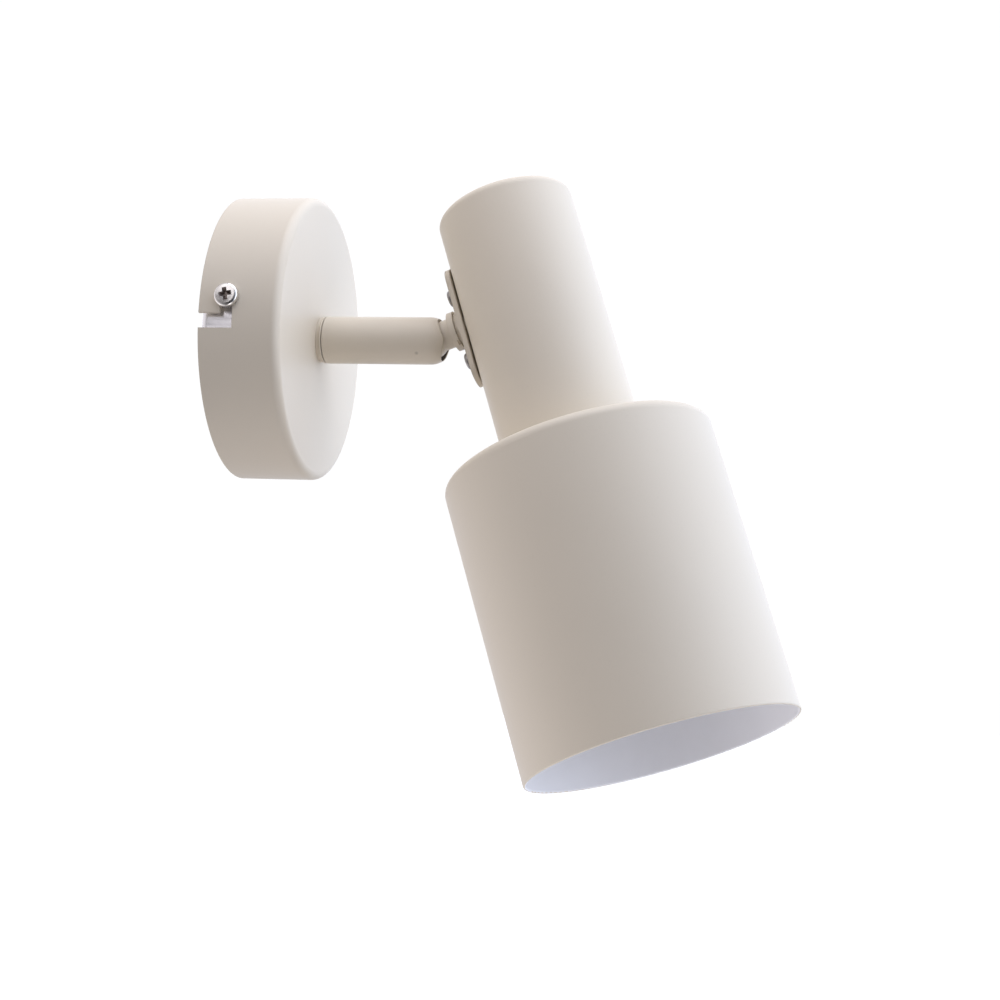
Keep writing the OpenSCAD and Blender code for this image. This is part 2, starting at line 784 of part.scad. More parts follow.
module neck_tube() {
    cut_l = sheet + 3 * over;
    color(cream) difference() {
        on_head_axis() translate([0, 0, shoulder]) {
            rotate_extrude() cup_section(neck_r, neck_h, sheet, neck_edge_r, 0);
            tube(neck_r - sheet / 2, collar_hole_r, sheet);
        }
        along_turned_stem(plate_back - seat) {
            cylinder(r = spigot_r + gap, h = cut_l);
            for (y = plate_screw_ys)
                translate([0, y, 0]) cylinder(d = plate_screw_d + 2 * seat, h = cut_l);
        }
    }
}

module shade() {
    color(cream) on_head_axis() translate([0, 0, mouth]) {
        rotate_extrude() {
            translate([0, sheet / 2])
                cup_section(shade_r, shade_h - sheet / 2, sheet, shade_edge_r, collar_hole_r);
            translate([shade_r - sheet / 2, sheet / 2]) circle(d = sheet);
        }
    }
}

// Insulating lampholder: a body in the neck and a threaded skirt through the shade's collar hole
module lampholder_body() {
    seat_z = shoulder + sheet;
    grooves = floor((skirt_h - thread_pitch) / thread_pitch);
    lead_hole_r = core_d / 2 + gap;
    color(porcelain) on_head_axis() difference() {
        union() {
            translate([0, 0, skirt_bottom]) cylinder(r = holder_d / 2, h = seat_z - skirt_bottom);
            translate([0, 0, seat_z]) cylinder(r = holder_flange_r, h = holder_flange_t);
            translate([0, 0, seat_z]) rotate_extrude()
                round_corner_section(holder_top_r, holder_top_h, holder_edge_r);
        }
        for (i = [0 : grooves - 1])
            translate([0, 0, skirt_bottom + thread_pitch * (i + 0.5)])
                tube(holder_d, holder_d / 2 - thread_groove, thread_pitch / 2);
        translate([0, 0, skirt_bottom - over]) cylinder(r = cavity_r, h = cavity_top - skirt_bottom + over);
        for (k = poles)
            translate([k * lead_entry_x, 0, cavity_top - over])
                cylinder(r = lead_hole_r, h = holder_top_h + over);
    }
}

module screw_shell() {
    color(brass) on_head_axis() translate([0, 0, cavity_top - shell_h - seat])
        tube(shell_r + shell_t, shell_r, shell_h);
}

// Springy tongue that meets the bulb's tip
module centre_contact() {
    tongue_w = 6;
    tongue_l = 9;
    foot_t = 0.5;
    color(brass) on_head_axis() {
        translate([-tongue_w / 2, -tongue_l / 2, contact_z - contact_t]) cube([tongue_w, tongue_l, contact_t]);
        translate([-tongue_w / 2, tongue_l / 2 - foot_t, contact_z - contact_t])
            cube([tongue_w, foot_t, cavity_top - contact_z + contact_t]);
    }
}

// Threaded ring under the shade's collar that clamps shade, neck and lampholder together
module shade_ring() {
    grips = 24;
    grip_r = 1.2;
    color(porcelain) on_head_axis() translate([0, 0, shoulder - sheet - shade_ring_h]) difference() {
        tube(shade_ring_r, holder_d / 2 + fit, shade_ring_h);
        for (k = [0 : grips - 1])
            rotate([0, 0, 360 * k / grips]) translate([shade_ring_r + grip_r / 2, 0, -over])
                cylinder(r = grip_r, h = shade_ring_h + 2 * over);
    }
}

// Three cores from the spigot down to the lampholder
module head_leads() {
    leave = 12;
    drop = 22;
    lead_depth = 6;
    start_y = head_out - spigot_end - gap;
    top_z = shoulder + sheet + holder_top_h;
    color(core_colour(-1)) on_head_axis() for (k = poles) {
        from = [k * (core_d + gap), start_y, 0];
        to = [k * lead_entry_x, 0, top_z - lead_depth];
        route = curve([from, from - [0, leave, 0], to + [0, 0, drop], to], core_steps);
        wire(route, core_d, core_sides, [1, 0.1, 0]);
    }
}

module bulb_cap() {
    ribs = floor(cap_h / cap_pitch) - 1;
    color(zinc) on_head_axis() translate([0, 0, cap_bottom]) difference() {
        tube(cap_r, cap_r - cap_groove - shell_t, cap_h);
        for (i = [0 : ribs - 1])
            translate([0, 0, cap_h - cap_pitch * (i + 1)])
                rotate_extrude() translate([cap_r + cap_groove, 0]) circle(r = 2 * cap_groove, $fn = 32);
    }
}

module bulb_contact() {
    insulator_r = 8;
    insulator_foot = 3;
    tip_r = 4.5;
    tip_h = 0.8;
    color(black) on_head_axis() {
        translate([0, 0, cap_top]) rotate_extrude()
            polygon([
                [0, 0], [insulator_r + insulator_foot, 0],
                [insulator_r, insulator_h - tip_h], [0, insulator_h - tip_h]
            ]);
        translate([0, 0, cap_top + insulator_h - tip_h]) cylinder(r = tip_r, h = tip_h);
    }
}

module bulb_housing() {
    throat_inset = 0.4;
    throat_r = cap_r - throat_inset;
    rim_r = sqrt(pow(bulb_r, 2) - pow(housing_bottom - diffuser_z, 2));
    h = cap_bottom - housing_bottom;
    rim_h = 2;
    color(white) on_head_axis() translate([0, 0, housing_bottom]) rotate_extrude()
        polygon([
            [rim_r, 0], [rim_r, rim_h], [throat_r + bulb_wall, h - rim_h], [throat_r, h],
            [throat_r - bulb_wall, h], [throat_r - bulb_wall, h - rim_h], [rim_r - bulb_wall, rim_h],
            [rim_r - bulb_wall, 0]
        ]);
}

module bulb_diffuser() {
    color(frosted) on_head_axis() difference() {
        translate([0, 0, diffuser_z]) sphere(r = bulb_r);
        translate([0, 0, diffuser_z]) sphere(r = bulb_r - bulb_wall);
        translate([0, 0, housing_bottom]) cylinder(r = bulb_r + over, h = bulb_d);
    }
}

base_cover();
mounting_bracket();
cover_screws();
terminal_housing();
terminal_inserts();
terminal_screws();
terminal_fixing_screw();
earth_screw();
earth_lead();
base_leads();
swivel_bolt();
swivel_nut();
toothed_washer();
swivel_collar();
arm_tube();
arm_bush();
disc_spring();
spring_stop();
friction_spring();
seat_ring();
arm_leads();
ball_stem();
stem_ring();
stem_washer();
stem_nut();
stem_leads();
head_plate();
plate_screws();
nut_plate();
neck_tube();
shade();
lampholder_body();
screw_shell();
centre_contact();
shade_ring();
head_leads();
bulb_cap();
bulb_contact();
bulb_housing();
bulb_diffuser();
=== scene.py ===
"""Studio scene of an adjustable wall spotlight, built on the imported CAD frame.

Metres. The origin is the centre of the base on the wall plane, the arm points along -Y and +Z is up.
"""
import json
import math

import bmesh
import bpy
from mathutils import Matrix, Vector


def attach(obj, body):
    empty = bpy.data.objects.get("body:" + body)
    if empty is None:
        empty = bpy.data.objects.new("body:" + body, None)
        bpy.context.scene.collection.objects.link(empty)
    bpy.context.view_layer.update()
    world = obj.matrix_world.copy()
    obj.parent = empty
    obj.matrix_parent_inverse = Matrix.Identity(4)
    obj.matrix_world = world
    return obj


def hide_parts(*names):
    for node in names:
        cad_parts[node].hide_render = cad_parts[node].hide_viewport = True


MM = 0.001

# Sizes and places of the CAD model that the materials and added pieces follow, in millimetres and degrees
BASE_R = 50.0
COVER_SCREW_OUT = 9.6
BRACKET_ANGLE = 16.0
ARM_R = 8.35
BALL_OUT = 68.0
PLATE_FRONT = 12.45
PLATE_SCREW_UP = 12.2
REST_TILT = 20.4
REST_TURN = 17.0
HEAD_OUT = 38.5
SHADE_R = 46.75
SHADE_WALL = 1.0
CORE_R = 0.9
CORE_PITCH_R = 1.15

# Screws: (radius, height) of the head, (radius, length) of the shank and turn of the recess in degrees
COVER_SCREW = {"head": (4.2, 2.6), "shank": (2.0, 9.4), "turn": 12.0}
PLATE_SCREW = {"head": (3.0, 2.25), "shank": (1.5, 7.54), "turn": 30.0}
THREAD_PITCH = 0.7
THREAD_START = 1.6
SHARP_ANGLE = 38.0

# Ends of the leads through the knuckle, along the stem from the ball's centre
STEM_LEADS_START = -5.3
STEM_LEADS_END = 23.986

# Small dimple in the arm's paint, which the photograph shows
DIMPLE_AT = (-7.16, -64.7, -4.3)
DIMPLE_R = 0.9
DIMPLE_DEPTH = 0.35

# Camera, fitted to the photograph's outlines
CAMERA_AZIMUTH = -78.25
CAMERA_ELEVATION = 3.79
CAMERA_ROLL = 0.69
CAMERA_TARGET = (0.0, -93.62, -55.51)
CAMERA_DISTANCE = 691.98
FOCAL_PX = 1968.1
IMAGE_PX = 1000
SENSOR_WIDTH = 36.0

FLOOR_HALF = 4.0
FLOOR_DROP = 0.85

CREAM = (0.753, 0.685, 0.570)
CREAM_WORN = (0.800, 0.750, 0.670)
INSIDE_WHITE = (0.90, 0.90, 0.915)
# Painted shade inside the lower half of the arm's knuckle slot
KNUCKLE_SHADE_DARK = (0.085, 0.078, 0.070)
BROWN = (0.16, 0.075, 0.04)
BLUE = (0.05, 0.14, 0.42)
GREEN = (0.10, 0.33, 0.08)
YELLOW = (0.78, 0.66, 0.07)


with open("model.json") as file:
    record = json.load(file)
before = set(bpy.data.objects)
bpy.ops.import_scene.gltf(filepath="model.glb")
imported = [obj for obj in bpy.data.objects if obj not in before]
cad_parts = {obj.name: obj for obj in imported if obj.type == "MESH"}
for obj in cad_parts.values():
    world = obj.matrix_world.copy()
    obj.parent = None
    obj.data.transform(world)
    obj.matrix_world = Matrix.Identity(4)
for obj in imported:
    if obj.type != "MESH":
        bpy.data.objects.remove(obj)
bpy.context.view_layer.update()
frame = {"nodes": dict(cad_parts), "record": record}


def rotation(axis, degrees):
    return Matrix.Rotation(math.radians(degrees), 3, axis)


HEAD_TURN = rotation("X", -REST_TILT) @ rotation("Y", REST_TURN)
BALL = Vector((0, -BALL_OUT, 0)) * MM
STEM_AXIS = HEAD_TURN @ Vector((0, -1, 0))
HEAD_AXIS = HEAD_TURN @ Vector((0, 0, 1))
HEAD_SIDE = HEAD_TURN @ Vector((1, 0, 0))
STEM_UP = rotation("X", -REST_TILT) @ Vector((0, 0, 1))
HEAD_CENTRE = BALL + HEAD_OUT * MM * STEM_AXIS
BRACKET_X = rotation("Y", -(180 - BRACKET_ANGLE)) @ Vector((1, 0, 0))
BRACKET_Y = rotation("Y", -(180 - BRACKET_ANGLE)) @ Vector((0, 0, 1))


def add_object(name, data):
    obj = bpy.data.objects.new(name, data)
    bpy.context.scene.collection.objects.link(obj)
    return obj


def axes_matrix(x, y, z):
    """Turn that carries the world's axes onto x, y and z."""
    return Matrix((x, y, z)).transposed()


def lit(colour, factor):
    """Colour made lighter or darker, up to full white."""
    return tuple(min(1.0, factor * c) for c in colour)


def add_node(tree, kind, sockets, **settings):
    """Adds a node. A socket is set to a value, or linked where the value is another node's socket."""
    made = tree.nodes.new(kind)
    for key, value in settings.items():
        setattr(made, key, value)
    for key, value in sockets.items():
        if isinstance(value, bpy.types.NodeSocket):
            tree.links.new(value, made.inputs[key])
        else:
            made.inputs[key].default_value = value
    return made


def rgba(colour):
    return (*colour, 1.0)


def place(tree):
    """Position in the object's own space, which keeps a pattern on the surface at every pose."""
    return add_node(tree, "ShaderNodeTexCoord", {}).outputs["Object"]


def noise(tree, vector, scale, detail=2.0, roughness=0.5):
    sockets = {"Vector": vector, "Scale": scale, "Detail": detail, "Roughness": roughness}
    return add_node(tree, "ShaderNodeTexNoise", sockets).outputs["Fac"]


def remap(tree, value, low, high, to_low, to_high):
    sockets = {"Value": value, "From Min": low, "From Max": high, "To Min": to_low, "To Max": to_high}
    return add_node(tree, "ShaderNodeMapRange", sockets).outputs["Result"]


def mix(tree, factor, a, b):
    """Colour between a and b. The mix node's colour sockets are 6 and 7, and its colour output is 2."""
    values = [rgba(v) if isinstance(v, tuple) and len(v) == 3 else v for v in (a, b)]
    made = add_node(tree, "ShaderNodeMix", {0: factor, 6: values[0], 7: values[1]}, data_type="RGBA")
    return made.outputs[2]


def calculate(tree, operation, a, b=0.0):
    return add_node(tree, "ShaderNodeMath", {0: a, 1: b}, operation=operation).outputs["Value"]


def vectors(tree, operation, a, b=(0, 0, 0), output="Vector"):
    return add_node(tree, "ShaderNodeVectorMath", {0: a, 1: b}, operation=operation).outputs[output]


def dot(tree, a, b):
    return vectors(tree, "DOT_PRODUCT", a, b, "Value")


def edge_wear(tree, radius):
    """(1 at a sharp edge and 0 on the flat, normal that is rounded over the edge)"""
    rounded = add_node(tree, "ShaderNodeBevel", {"Radius": radius}, samples=4).outputs["Normal"]
    flat = add_node(tree, "ShaderNodeNewGeometry", {}).outputs["Normal"]
    return remap(tree, dot(tree, rounded, flat), 0.98, 0.80, 0.0, 1.0), rounded


def bump(tree, height, strength, distance, normal=None):
    sockets = {"Height": height, "Strength": strength, "Distance": distance}
    if normal is not None:
        sockets["Normal"] = normal
    return add_node(tree, "ShaderNodeBump", sockets).outputs["Normal"]


def new_material(name):
    material = bpy.data.materials.new(name)
    material.use_nodes = True
    material.node_tree.nodes.clear()
    return material, material.node_tree


def close_material(tree, **sockets):
    """Principled shader on the material's output; socket names have _ for a space."""
    named = {key.replace("_", " "): value for key, value in sockets.items()}
    shader = add_node(tree, "ShaderNodeBsdfPrincipled", named)
    add_node(tree, "ShaderNodeOutputMaterial", {"Surface": shader.outputs["BSDF"]})


def powder_coat(name, repaint=None, dimple_at=None, edge=0.35):
    """Matt powder coat: fine orange peel, a faint drift of colour and gloss, lighter worn edges and, where given, a
    dimple with painted shade in its hollow.

    repaint is a function that changes the paint's colour on part of the surface, such as white paint inside the
    shade or painted shade in the arm's knuckle.
    """
    material, tree = new_material(name)
    at = place(tree)
    drift = noise(tree, at, 22.0, 3.0)
    speckle = noise(tree, at, 900.0, 2.0)
    peel = noise(tree, at, 1300.0, 3.0, 0.6)
    wear, rounded = edge_wear(tree, edge * MM)
    scuffs = remap(tree, noise(tree, at, 260.0, 4.0), 0.52, 0.66, 0.0, 1.0)
    paint = mix(tree, drift, lit(CREAM, 0.965), lit(CREAM, 1.025))
    paint = mix(tree, remap(tree, speckle, 0.62, 0.75, 0.0, 0.12), paint, lit(CREAM, 0.85))
    paint = mix(tree, calculate(tree, "MULTIPLY", wear, scuffs), paint, CREAM_WORN)
    if repaint is not None:
        paint = repaint(tree, at, paint)
    normal = bump(tree, peel, 0.22, 0.05 * MM, rounded)
    if dimple_at is not None:
        distance = vectors(tree, "DISTANCE", at, tuple(dimple_at), "Value")
        pit = remap(tree, distance, 0.0, DIMPLE_R * MM, 0.0, 1.0)
        normal = bump(tree, pit, 0.8, DIMPLE_DEPTH * MM, normal)
        # Painted shade: the paint darkens towards the dimple's centre, as shade in its hollow
        paint = mix(tree, pit, lit(CREAM, 0.62), paint)
    close_material(
        tree, Base_Color=paint, Roughness=remap(tree, drift, 0.3, 0.7, 0.44, 0.54),
        Specular_IOR_Level=0.45, Normal=normal,
    )
    return material


def white_inside(tree, at, paint):
    """White paint on the faces that look at the shade's axis or down from its shoulder."""
    normal = add_node(tree, "ShaderNodeTexCoord", {}).outputs["Normal"]
    from_centre = vectors(tree, "SUBTRACT", at, tuple(HEAD_CENTRE))
    along = dot(tree, from_centre, tuple(HEAD_AXIS))
    on_axis = add_node(
        tree, "ShaderNodeVectorMath", {0: tuple(HEAD_AXIS), "Scale": along}, operation="SCALE"
    ).outputs["Vector"]
    radial = vectors(tree, "SUBTRACT", from_centre, on_axis)
    reach = vectors(tree, "LENGTH", radial, output="Value")
    outward = calculate(tree, "DIVIDE", dot(tree, normal, radial), reach)
    inner_wall = calculate(tree, "LESS_THAN", outward, -0.15)
    faces_down = calculate(tree, "LESS_THAN", dot(tree, normal, tuple(HEAD_AXIS)), -0.7)
    within = calculate(tree, "LESS_THAN", reach, (SHADE_R - 2 * SHADE_WALL) * MM)
    ceiling = calculate(tree, "MULTIPLY", faces_down, within)
    inside = calculate(tree, "MAXIMUM", inner_wall, ceiling)
    mottle = noise(tree, at, 120.0, 2.0)
    white = mix(tree, mottle, lit(INSIDE_WHITE, 0.97), INSIDE_WHITE)
    return mix(tree, inside, paint, white)


def knuckle_painted_shade(tree, at, paint):
    """Painted shade: near black on the faces inside the arm's outer skin, in the lower half, standing in for the
    shadow in the slot round the knuckle.
    """
    from_ball = vectors(tree, "SUBTRACT", at, tuple(BALL))
    nearest = vectors(tree, "MINIMUM", from_ball, (1.0, 0.0, 1.0))
    depth = vectors(tree, "LENGTH", nearest, output="Value")
    inside = calculate(tree, "LESS_THAN", depth, (ARM_R - 0.2) * MM)
    below = calculate(tree, "LESS_THAN", dot(tree, from_ball, (0, 0, 1)), 0.0)
    return mix(tree, calculate(tree, "MULTIPLY", inside, below), paint, KNUCKLE_SHADE_DARK)


def plated(name, colour, tint, gloss, streak_scale, metallic=1.0):
    """Plated or bare metal: brushed streaks, patches of tint and slight scratches."""
    material, tree = new_material(name)
    at = place(tree)
    stretch = vectors(tree, "MULTIPLY", at, (1.0, 0.08, 1.0))
    streaks = noise(tree, stretch, streak_scale, 4.0, 0.65)
    patches = noise(tree, at, 90.0, 3.0)
    wear, rounded = edge_wear(tree, 0.15 * MM)
    base = mix(tree, remap(tree, patches, 0.35, 0.65, 0.0, 1.0), colour, tint)
    base = mix(tree, calculate(tree, "MULTIPLY", wear, 0.5), base, lit(colour, 1.12))
    close_material(
        tree, Base_Color=base, Metallic=metallic,
        Roughness=remap(tree, streaks, 0.3, 0.7, gloss - 0.07, gloss + 0.09),
        Normal=bump(tree, streaks, 0.12, 0.02 * MM, rounded),
    )
    return material


def moulded(name, colour, roughness, grain=700.0, coat=0.0, subsurface=0.0):
    """Moulded plastic or glazed ware with a faint grain and uneven gloss."""
    material, tree = new_material(name)
    at = place(tree)
    cloud = noise(tree, at, 60.0, 3.0)
    texture = noise(tree, at, grain, 3.0)
    wear, rounded = edge_wear(tree, 0.25 * MM)
    base = mix(tree, cloud, lit(colour, 0.94), colour)
    base = mix(tree, calculate(tree, "MULTIPLY", wear, 0.4), base, lit(colour, 1.1))
    close_material(
        tree, Base_Color=base, Roughness=remap(tree, cloud, 0.3, 0.7, roughness - 0.05, roughness + 0.06),
        Normal=bump(tree, texture, 0.1, 0.03 * MM, rounded), Coat_Weight=coat,
        Subsurface_Weight=subsurface, Subsurface_Scale=2 * MM,
    )
    return material


def mains_cores(name, origin, u_axis, v_axis, blue_below):
    """Three insulated cores, told apart by where they lie: blue in the middle, brown and green-yellow beside.

    v tells the outer two apart. The middle is blue only where u is below blue_below, in metres.
    """
    material, tree = new_material(name)
    at = place(tree)
    normal = add_node(tree, "ShaderNodeTexCoord", {}).outputs["Normal"]
    offset = vectors(tree, "SUBTRACT", at, tuple(origin))
    u = dot(tree, offset, tuple(u_axis))
    v = dot(tree, offset, tuple(v_axis))
    stripe = calculate(tree, "GREATER_THAN", dot(tree, normal, tuple(u_axis)), 0.35)
    earth = mix(tree, stripe, GREEN, YELLOW)
    outer = mix(tree, calculate(tree, "GREATER_THAN", v, 0.0), BROWN, earth)
    near = calculate(tree, "LESS_THAN", calculate(tree, "ABSOLUTE", v), 1.05 * MM)
    middle = calculate(tree, "MULTIPLY", near, calculate(tree, "LESS_THAN", u, blue_below))
    colour = mix(tree, middle, outer, BLUE)
    sheen = noise(tree, at, 300.0, 2.0)
    colour = mix(tree, calculate(tree, "MULTIPLY", sheen, 0.25), colour, (0.5, 0.5, 0.5))
    close_material(
        tree, Base_Color=colour, Roughness=remap(tree, sheen, 0.3, 0.7, 0.32, 0.45),
        Normal=bump(tree, sheen, 0.1, 0.05 * MM),
    )
    return material


MATERIALS = {
    "cream_paint": powder_coat("cream_powder_coat"),
    "shade_paint": powder_coat("shade_powder_coat", white_inside),
    "zinc": plated("bright_zinc", (0.80, 0.81, 0.83), (0.74, 0.77, 0.83), 0.30, 500.0),
    "chrome": plated("bright_nickel", (0.84, 0.82, 0.79), (0.78, 0.76, 0.73), 0.25, 900.0),
    "dull_chrome": plated("dull_nickel", (0.44, 0.42, 0.405), (0.34, 0.325, 0.315), 0.36, 900.0),
    # Painted shade: dark metal in the screws' cross recesses, where shade falls
    "recess": plated("screw_recess_painted_shade", (0.34, 0.29, 0.26), (0.20, 0.165, 0.145), 0.42, 900.0, 0.7),
    "steel": plated("plain_steel", (0.58, 0.59, 0.61), (0.50, 0.51, 0.54), 0.34, 700.0),
    "brass": plated("plain_brass", (0.83, 0.62, 0.30), (0.74, 0.52, 0.24), 0.27, 600.0),
    "white_plastic": moulded("white_plastic", (0.86, 0.86, 0.85), 0.34, 500.0),
    "black_plastic": moulded("black_plastic", (0.030, 0.030, 0.032), 0.42, 800.0),
    "holder_plastic": moulded("glazed_holder", (0.84, 0.82, 0.76), 0.22, 200.0, 0.5),
    "diffuser": moulded("opal_diffuser", (0.93, 0.92, 0.89), 0.30, 150.0, 0.0, 0.35),
    "cap_metal": plated("cap_aluminium", (0.82, 0.82, 0.82), (0.76, 0.76, 0.77), 0.24, 700.0),
}
BASE_CORES = mains_cores("base_cores", (0, 0, 0), BRACKET_X, BRACKET_Y, -0.29 * MM)
STEM_CORES = mains_cores("stem_cores", BALL, (1, 0, 0), STEM_UP, -0.29 * MM)
HEAD_CORES = mains_cores("head_cores", HEAD_CENTRE, STEM_AXIS, HEAD_SIDE, 1.0)
NODE_MATERIALS = {
    "earth_lead": BASE_CORES,
    "base_leads": BASE_CORES,
    "arm_leads": BASE_CORES,
    "stem_leads": STEM_CORES,
    "head_leads": HEAD_CORES,
    # The arm's paint carries painted shade inside its knuckle and in its dimple
    "arm_tube": powder_coat("arm_powder_coat_and_painted_shade", knuckle_painted_shade, Vector(DIMPLE_AT) * MM),
    "head_plate": powder_coat("plate_powder_coat", edge=0.9),
    "mounting_bracket": plated("smooth_zinc", (0.93, 0.92, 0.93), (0.89, 0.88, 0.90), 0.19, 500.0, 0.7),
}


def dress_cad_nodes():
    """Gives every CAD node its own material, or else that of its slot in the record."""
    slots = {s["node"]: s["material_slot"] for s in frame["record"]["subparts"]}
    for name, obj in frame["nodes"].items():
        material = NODE_MATERIALS.get(name) or MATERIALS[slots[name]]
        for slot in obj.material_slots:
            slot.material = material


def screw_thread(name, start, axis, radius, length, pitch):
    """Helical ridge of a screw's thread, along axis from start."""
    side = axis.orthogonal().normalized()
    rise = axis.cross(side)
    steps_per_turn = 24
    steps = int(length / pitch * steps_per_turn)
    curve = bpy.data.curves.new(name, "CURVE")
    curve.dimensions = "3D"
    curve.bevel_depth = 0.22 * pitch
    curve.bevel_resolution = 2
    curve.use_fill_caps = True
    spline = curve.splines.new("POLY")
    spline.points.add(steps)
    for i, point in enumerate(spline.points):
        angle = 2 * math.pi * i / steps_per_turn
        at = start + axis * (i * pitch / steps_per_turn)
        at += radius * (math.cos(angle) * side + math.sin(angle) * rise)
        point.co = (*at, 1.0)
    curve.materials.append(MATERIALS["chrome"])
    obj = add_object(name, curve)
    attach(obj, "base")


def turned_solid(name, profile, segments=72):
    """Mesh object turned about Z from (radius, height) points, closed flat at both ends."""
    verts, faces = [], []
    for radius, height in profile:
        for i in range(segments):
            angle = 2 * math.pi * i / segments
            verts.append((radius * math.cos(angle), radius * math.sin(angle), height))
    for ring in range(len(profile) - 1):
        low, high = ring * segments, (ring + 1) * segments
        for i in range(segments):
            j = (i + 1) % segments
            faces.append((low + i, low + j, high + j, high + i))
    faces.append(tuple(reversed(range(segments))))
    faces.append(tuple(range(len(verts) - segments, len(verts))))
    mesh = bpy.data.meshes.new(name)
    mesh.from_pydata(verts, [], faces)
    return add_object(name, mesh)


def put_in_place(mesh, at, turn):
    """Turns a mesh that is drawn in millimetres, moves it to its place in metres and smooths it."""
    mesh.transform(Matrix.Translation(at) @ turn.to_4x4() @ Matrix.Scale(MM, 4))
    mesh.shade_smooth()
    mesh.set_sharp_from_angle(angle=math.radians(SHARP_ANGLE))


def cross_cutter(span, width, top, depth, turn):
    """Tapered cross, wide at the top and narrow at its foot, that cuts a screw's recess."""
    half, arm = span / 2, width / 2
    corner = [(half, -arm), (half, arm), (arm, arm)]
    outline = []
    for quarter in range(4):
        for x, y in corner:
            angle = math.radians(turn + 90 * quarter)
            turned_x = x * math.cos(angle) - y * math.sin(angle)
            turned_y = x * math.sin(angle) + y * math.cos(angle)
            outline.append((turned_x, turned_y))
    count = len(outline)
    foot = 0.42
    verts = [(foot * x, foot * y, top - depth) for x, y in outline] + [(x, y, top) for x, y in outline]
    faces = [(i, (i + 1) % count, count + (i + 1) % count, count + i) for i in range(count)]
    faces += [tuple(reversed(range(count))), tuple(range(count, 2 * count))]
    mesh = bpy.data.meshes.new("cross_cutter")
    mesh.from_pydata(verts, [], faces)
    return add_object("cross_cutter", mesh)


def pan_head_profile(head, shank):
    """(radius, height) points of a pan-head screw from its tip to its crown, with 0 under the head."""
    head_r, head_h = head
    shank_r, shank_l = shank
    tip = [(0.6 * shank_r, -shank_l), (shank_r, -shank_l + 0.5 * shank_r), (shank_r, 0.0)]
    rim = [(0.96 * head_r, 0.0), (head_r, 0.05 * head_h)]
    crown = [
        (head_r * (1 - 0.30 * s * s), head_h * (0.42 + 0.46 * math.sin(math.pi * s / 2)))
        for s in (0.0, 0.15, 0.3, 0.45, 0.6, 0.75, 0.9, 1.0)
    ]
    face = [(0.70 * head_r * (1 - s), head_h * (0.88 + 0.12 * (1 - (1 - s) ** 2))) for s in (0.3, 0.6, 0.85, 0.98)]
    return tip + rim + crown + face


def pan_head_screw(name, at, out, up, screw_size, finish, node, body):
    """Pan-head screw with a cross recess. at is the point under the head, out is where the head looks."""
    head_r, head_h = screw_size["head"]
    screw = turned_solid(name, pan_head_profile(screw_size["head"], screw_size["shank"]))
    cutter = cross_cutter(1.22 * head_r, 0.42 * head_r, 1.1 * head_h, 0.8 * head_h, screw_size["turn"])
    for obj in (screw, cutter):
        obj.data.materials.append(finish)
        obj.data.materials.append(MATERIALS["recess"])
    # The recess walls take the dark painted-shade metal
    for polygon in cutter.data.polygons:
        polygon.material_index = 1
    cut = screw.modifiers.new("recess", "BOOLEAN")
    cut.operation = "DIFFERENCE"
    cut.solver = "EXACT"
    cut.object = cutter
    evaluated = screw.evaluated_get(bpy.context.evaluated_depsgraph_get())
    mesh = bpy.data.meshes.new_from_object(evaluated)
    screw.modifiers.clear()
    screw.data = mesh
    bpy.data.objects.remove(cutter)
    across = up.cross(out).normalized()
    put_in_place(mesh, at, axes_matrix(across, out.cross(across), out))
    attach(screw, body)
    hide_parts(node)


def add_screws():
    """Cover screws in the bayonet slots and the two screws of the head's plate, in place of their plain solids."""
    up = Vector((0, 0, 1))
    for side, name in ((1, "cover_screw_left"), (-1, "cover_screw_right")):
        out = side * BRACKET_X
        at = Vector((0, -COVER_SCREW_OUT * MM, 0)) + BASE_R * MM * out
        pan_head_screw(name, at, out, up, COVER_SCREW, MATERIALS["chrome"], "cover_screws", "base")
    for side, name in ((1, "plate_screw_upper"), (-1, "plate_screw_lower")):
        at = BALL + PLATE_FRONT * MM * STEM_AXIS + side * PLATE_SCREW_UP * MM * HEAD_AXIS
        finish = MATERIALS["dull_chrome"]
        pan_head_screw(name, at, -STEM_AXIS, HEAD_AXIS, PLATE_SCREW, finish, "plate_screws", "head")


def add_stem_leads():
    """Leads through the knuckle. They end inside the ball's flare, clear of the seat ring at every tilt."""
    chamfer = 0.1
    profile = [
        (CORE_R - chamfer, STEM_LEADS_START), (CORE_R, STEM_LEADS_START + chamfer),
        (CORE_R, STEM_LEADS_END - chamfer), (CORE_R - chamfer, STEM_LEADS_END),
    ]
    cores = bmesh.new()
    for degrees in (180, 60, -60):
        angle = math.radians(degrees)
        core = turned_solid("core", profile, 32)
        core.data.transform(Matrix.Translation((CORE_PITCH_R * math.cos(angle), CORE_PITCH_R * math.sin(angle), 0)))
        cores.from_mesh(core.data)
        bpy.data.objects.remove(core)
    mesh = bpy.data.meshes.new("stem_cores")
    cores.to_mesh(mesh)
    cores.free()
    put_in_place(mesh, BALL, axes_matrix(Vector((1, 0, 0)), STEM_UP, STEM_AXIS))
    mesh.materials.append(STEM_CORES)
    obj = add_object("stem_cores", mesh)
    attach(obj, "knuckle")
    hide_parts("stem_leads")


def add_cover_screw_threads():
    """Threads of the cover screws, from just inside the cover towards the axis."""
    radius, length = COVER_SCREW["shank"]
    for side, name in ((1, "cover_screw_thread_left"), (-1, "cover_screw_thread_right")):
        start = Vector((0, -COVER_SCREW_OUT * MM, 0)) + side * BRACKET_X * (BASE_R - THREAD_START) * MM
        screw_thread(name, start, -side * BRACKET_X, radius * MM, length * MM, THREAD_PITCH * MM)


